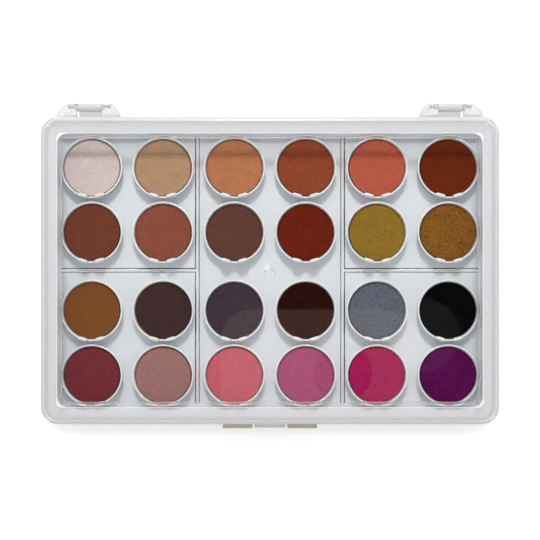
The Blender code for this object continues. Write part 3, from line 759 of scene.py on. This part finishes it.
cup_tree.links.new(cup_wall, whole_cup.inputs["Geometry"])
finish_tree(cup_tree, whole_cup.outputs["Geometry"], given["Place"], given["Material"])

# %% The cup's section
CUP_HEIGHT = 0.0068
CUP_FLOOR = 0.0010
RIM_WIDTH = 0.0008
INNER_DRAFT = 0.0007
BEAD_HEIGHT = 0.0012
BEAD_STEP = 0.0004
FOOT_INSET = 0.0010


def cup_profile(radius):
    """The cup's section from the middle of its floor, over the rim and down to the middle of its foot."""
    inner = radius - RIM_WIDTH
    body = radius - BEAD_STEP
    return [
        (0, CUP_FLOOR), (inner - INNER_DRAFT, CUP_FLOOR), (inner, CUP_HEIGHT), (radius, CUP_HEIGHT),
        (radius, CUP_HEIGHT - BEAD_HEIGHT), (body, CUP_HEIGHT - BEAD_HEIGHT), (body - FOOT_INSET, 0), (0, 0),
    ]


def middle_of_foot(node):
    """The middle of a round CAD node's foot, the node's radius and its height."""
    low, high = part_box(node)
    middle = Vector(((low.x + high.x) / 2, (low.y + high.y) / 2, low.z))
    return middle, (high.x - low.x) / 2, high.z - low.z


print("the cup leans in over its depth by", in_mm([INNER_DRAFT]), "mm")

# %% The cups
CUP_SEGMENTS = 80
BEAD_RADIUS = 0.00035
LUG_SIZE = (0.0056, 0.0020, 0.0042)
LUG_SPACING = 0.0086
LUG_TOP = 0.0030
LUG_OUTER_INSET = 0.0002
ROWS = "abcd"
COLUMNS = range(1, 7)

places = [f"{row}{column}" for row in ROWS for column in COLUMNS]
for place in places:
    foot, radius, _ = middle_of_foot(f"pan_{place}")
    cup = evaluate(f"cup_{place}", cup_tree, cup_profile(radius), {
        "Segments": CUP_SEGMENTS, "Bead radius": BEAD_RADIUS, "Lug size": LUG_SIZE,
        "Lug spacing": LUG_SPACING, "Lug radius": radius - LUG_OUTER_INSET - LUG_SIZE[1] / 2,
        "Lug height": CUP_HEIGHT + LUG_TOP - LUG_SIZE[2] / 2, "Place": foot, "Material": white_cup,
    })
    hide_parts(f"pan_{place}")
    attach(cup, "case")
pan_low, pan_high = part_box(f"pan_{place}")
print("a cup has", len(cup.data.polygons), "faces and is", in_mm(cup.dimensions, 2), "mm")
print("its CAD node is", in_mm(pan_high - pan_low, 2), "mm")

# %% [markdown]
# ## Gouache
# Gouache is pigment and chalk bound with gum, pressed into a cake. It dries dead matt, with a fine grain and
# slow, faint changes of tone, and coarse pigments leave dark specks. The grain of a real cake is a few
# hundredths of a millimetre. Here it is drawn larger than life, so that the picture can show it. Noise gives
# grain and tone, and a Voronoi pattern gives the specks, because each of its cells can hold one round dot.

# %% Specks
SPECK_CELL = 0.0011
SPECK_RADIUS = 0.36


def speck_mask(tree, place, share):
    """Round specks in a share of the cells of a Voronoi pattern."""
    cells = add_node(tree, "ShaderNodeTexVoronoi", {
        "Vector": place, "Scale": 1 / SPECK_CELL,
    }, voronoi_dimensions="2D")
    dot = add_node(tree, "ShaderNodeMapRange", {
        "Value": cells.outputs["Distance"], "From Min": SPECK_RADIUS, "From Max": SPECK_RADIUS / 2,
    })
    draw = add_node(tree, "ShaderNodeSeparateXYZ", {"Vector": cells.outputs["Color"]})
    chosen = add_node(tree, "ShaderNodeMath", {0: draw.outputs["X"], 1: share}, operation="LESS_THAN")
    return add_node(tree, "ShaderNodeMath", {
        0: dot.outputs["Result"], 1: chosen.outputs["Value"],
    }, operation="MULTIPLY").outputs["Value"]


print("a speck is up to", in_mm([2 * SPECK_RADIUS * SPECK_CELL], 2), "mm wide")

# %% Grain and tone
GRAIN_SIZE = 0.0007
MOTTLE_SIZE = 0.005
MOTTLE_SHARE = 0.25
NOISE_LOW, NOISE_HIGH = 0.3, 0.7
# Painted shade: the cake's outer edge is darkened where the rim shades the gap round it, and the dark band is
# shifted towards the hinges, where the softbox throws the rim's shadow.
PAINTED_SHADE_BAND = 0.0008
PAINTED_SHADE_SHIFT = 0.0003
PAINTED_SHADE_TONE = 0.42
SPECK_TONE = 0.45


def tone_of_cake(tree, place, fine, grain, specks, middle, radius):
    """How much lighter or darker than its plain colour each point of a cake is, with painted shade at its edge.
    """
    slow = add_node(tree, "ShaderNodeTexNoise", {"Vector": place, "Scale": 1 / MOTTLE_SIZE, "Detail": 2.0})
    both = add_node(tree, "ShaderNodeMix", {
        "Factor": MOTTLE_SHARE, "A": fine, "B": slow.outputs["Fac"],
    }, data_type="FLOAT")
    flat = add_node(tree, "ShaderNodeVectorMath", {0: place, 1: (1, 1, 0)}, operation="MULTIPLY")
    reach = add_node(tree, "ShaderNodeVectorMath", {
        0: flat.outputs["Vector"], 1: (middle.x, middle.y - PAINTED_SHADE_SHIFT, 0),
    }, operation="DISTANCE")
    tones = [
        add_node(tree, "ShaderNodeMapRange", {
            "Value": both.outputs["Result"], "From Min": NOISE_LOW, "From Max": NOISE_HIGH,
            "To Min": 1 - grain, "To Max": 1 + grain,
        }),
        add_node(tree, "ShaderNodeMapRange", {
            "Value": reach.outputs["Value"], "From Min": radius - PAINTED_SHADE_BAND, "From Max": radius,
            "To Min": 1.0, "To Max": PAINTED_SHADE_TONE,
        }, interpolation_type="SMOOTHSTEP"),
    ]
    if specks:
        tones.append(add_node(tree, "ShaderNodeMapRange", {
            "Value": speck_mask(tree, place, specks), "To Min": 1.0, "To Max": SPECK_TONE,
        }))
    tone = tones[0].outputs["Result"]
    for other in tones[1:]:
        tone = add_node(tree, "ShaderNodeMath", {
            0: tone, 1: other.outputs["Result"],
        }, operation="MULTIPLY").outputs["Value"]
    return tone


print("grain in mm:", in_mm([GRAIN_SIZE]))

# %% Gouache material
GOUACHE_ROUGHNESS = 0.9
GOUACHE_SHEEN = 0.08
GUM_IOR = 1.45
GRAIN_HEIGHT = 0.00006
GRAIN_STRENGTH = 0.5


def gouache(name, colour, grain, specks, middle, radius):
    """Dry matt gouache with a grain, specks in a share of its cells, and painted shade at its outer edge."""
    material, tree = new_material("dry_gouache_" + name)
    place = add_node(tree, "ShaderNodeTexCoord").outputs["Object"]
    fine = add_node(tree, "ShaderNodeTexNoise", {
        "Vector": place, "Scale": 1 / GRAIN_SIZE, "Detail": 1.0,
    }).outputs["Fac"]
    tone = tone_of_cake(tree, place, fine, grain, specks, middle, radius)
    paint = add_node(tree, "ShaderNodeVectorMath", {0: linear(colour)[:3], "Scale": tone}, operation="SCALE")
    bump = add_node(tree, "ShaderNodeBump", {
        "Height": fine, "Strength": GRAIN_STRENGTH, "Distance": GRAIN_HEIGHT,
    })
    cake = add_node(tree, "ShaderNodeBsdfPrincipled", {
        "Base Color": paint.outputs["Vector"], "Roughness": GOUACHE_ROUGHNESS, "IOR": GUM_IOR,
        "Specular IOR Level": GOUACHE_SHEEN, "Normal": bump.outputs["Normal"],
    })
    add_node(tree, "ShaderNodeOutputMaterial", {"Surface": cake.outputs["BSDF"]})
    return material


print("roughness and specular level of gouache:", GOUACHE_ROUGHNESS, GOUACHE_SHEEN)

# %% [markdown]
# ## Cakes
# A cake is pressed in a mould and dries a little uneven. It is a turned disc with a rounded edge, and a slow
# noise lifts and lowers its top by a few hundredths of a millimetre. Each cake has a seed of its own, so no
# two are alike. A bump alone would not show in the outline, or in the mesh that is exported.

# %% The cake's tree
PROFILE_CUTS = 8
CAKE_WAVES_PER_METRE = 180.0
NOISE_MIDDLE = 0.5
TOP_FROM = 0.8

cake_tree, given = new_tree("pressed_cake", {
    "Segments": "NodeSocketInt", "Edge radius": "NodeSocketFloat", "Top": "NodeSocketFloat",
    "Unevenness": "NodeSocketFloat", "Seed": "NodeSocketFloat",
    "Place": "NodeSocketVector", "Material": "NodeSocketMaterial",
})
disc = turned(cake_tree, given["Geometry"], given["Segments"], given["Edge radius"], cuts=PROFILE_CUTS)
where = add_node(cake_tree, "GeometryNodeInputPosition").outputs["Position"]
uneven = add_node(cake_tree, "ShaderNodeTexNoise", {
    "Vector": where, "W": given["Seed"], "Scale": CAKE_WAVES_PER_METRE, "Detail": 2.0,
}, noise_dimensions="4D")
centred = add_node(cake_tree, "ShaderNodeMath", {
    0: uneven.outputs["Fac"], 1: NOISE_MIDDLE,
}, operation="SUBTRACT")
rise = add_node(cake_tree, "ShaderNodeMath", {
    0: centred.outputs["Value"], 1: given["Unevenness"],
}, operation="MULTIPLY")
upright = add_node(cake_tree, "ShaderNodeSeparateXYZ", {"Vector": where})
share = add_node(cake_tree, "ShaderNodeMath", {0: upright.outputs["Z"], 1: given["Top"]}, operation="DIVIDE")
only_top = add_node(cake_tree, "ShaderNodeMapRange", {
    "Value": share.outputs["Value"], "From Min": TOP_FROM, "From Max": 1.0,
})
lift = add_node(cake_tree, "ShaderNodeMath", {
    0: rise.outputs["Value"], 1: only_top.outputs["Result"],
}, operation="MULTIPLY")
offset = add_node(cake_tree, "ShaderNodeCombineXYZ", {"Z": lift.outputs["Value"]})
cake_top = add_node(cake_tree, "GeometryNodeSetPosition", {
    "Geometry": disc, "Offset": offset.outputs["Vector"],
})
finish_tree(cake_tree, cake_top.outputs["Geometry"], given["Place"], given["Material"])

# %% The paints
# Each entry holds a paint's name, its colour, the strength of its grain and its share of specked cells
PAINTS = [
    ("rose_white", "D0C0BC", 0.16, 0), ("sand", "B08C6C", 0.20, 0),
    ("apricot_ochre", "B47450", 0.18, 0), ("terracotta", "8C442C", 0.22, 0),
    ("brick_pink", "B45844", 0.18, 0), ("burnt_sienna", "682810", 0.26, 0),
    ("light_umber", "703C2C", 0.20, 0), ("rosewood", "884C3C", 0.20, 0),
    ("cocoa", "603C34", 0.20, 0), ("english_red", "682010", 0.30, 0.02),
    ("olive_ochre", "8C6C28", 0.26, 0.05), ("raw_sienna", "805420", 0.44, 0.12),
    ("golden_umber", "7C4C28", 0.16, 0), ("dark_umber", "402C2C", 0.24, 0),
    ("aubergine_grey", "40343C", 0.24, 0), ("bitter_chocolate", "280C06", 0.60, 0.1),
    ("slate_grey", "606470", 0.22, 0.2), ("black", "020304", 0.20, 0),
    ("wine_red", "743038", 0.20, 0.02), ("dusty_pink", "9C706C", 0.16, 0),
    ("coral_pink", "C4606C", 0.16, 0), ("heather_pink", "A84C74", 0.18, 0.02),
    ("magenta", "A41C54", 0.22, 0.07), ("violet", "580C4C", 0.34, 0.15),
]
print(len(PAINTS), "paints,", sum(specks > 0 for *_, specks in PAINTS), "of them with specks")

# %% The cakes
CAKE_SEGMENTS = 64
CAKE_EDGE = 0.0005
CAKE_CREEP = 0.00010
CAKE_UNEVENNESS = 0.00012

for seed, (place, (paint, colour, grain, specks)) in enumerate(zip(places, PAINTS)):
    middle, radius, top = middle_of_foot(f"paint_{place}")
    radius += CAKE_CREEP
    draft = INNER_DRAFT * top / (CUP_HEIGHT - CUP_FLOOR)
    profile = [(0, top), (radius, top), (radius - draft, 0), (0, 0)]
    cake = evaluate(f"cake_{place}", cake_tree, profile, {
        "Segments": CAKE_SEGMENTS, "Edge radius": CAKE_EDGE, "Top": top,
        "Unevenness": CAKE_UNEVENNESS, "Seed": float(seed), "Place": middle,
        "Material": gouache(paint, colour, grain, specks, middle, radius),
    })
    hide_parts(f"paint_{place}")
    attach(cake, "case")
print("a cake has", len(cake.data.polygons), "faces; radius and thickness", in_mm([radius, top], 2), "mm")
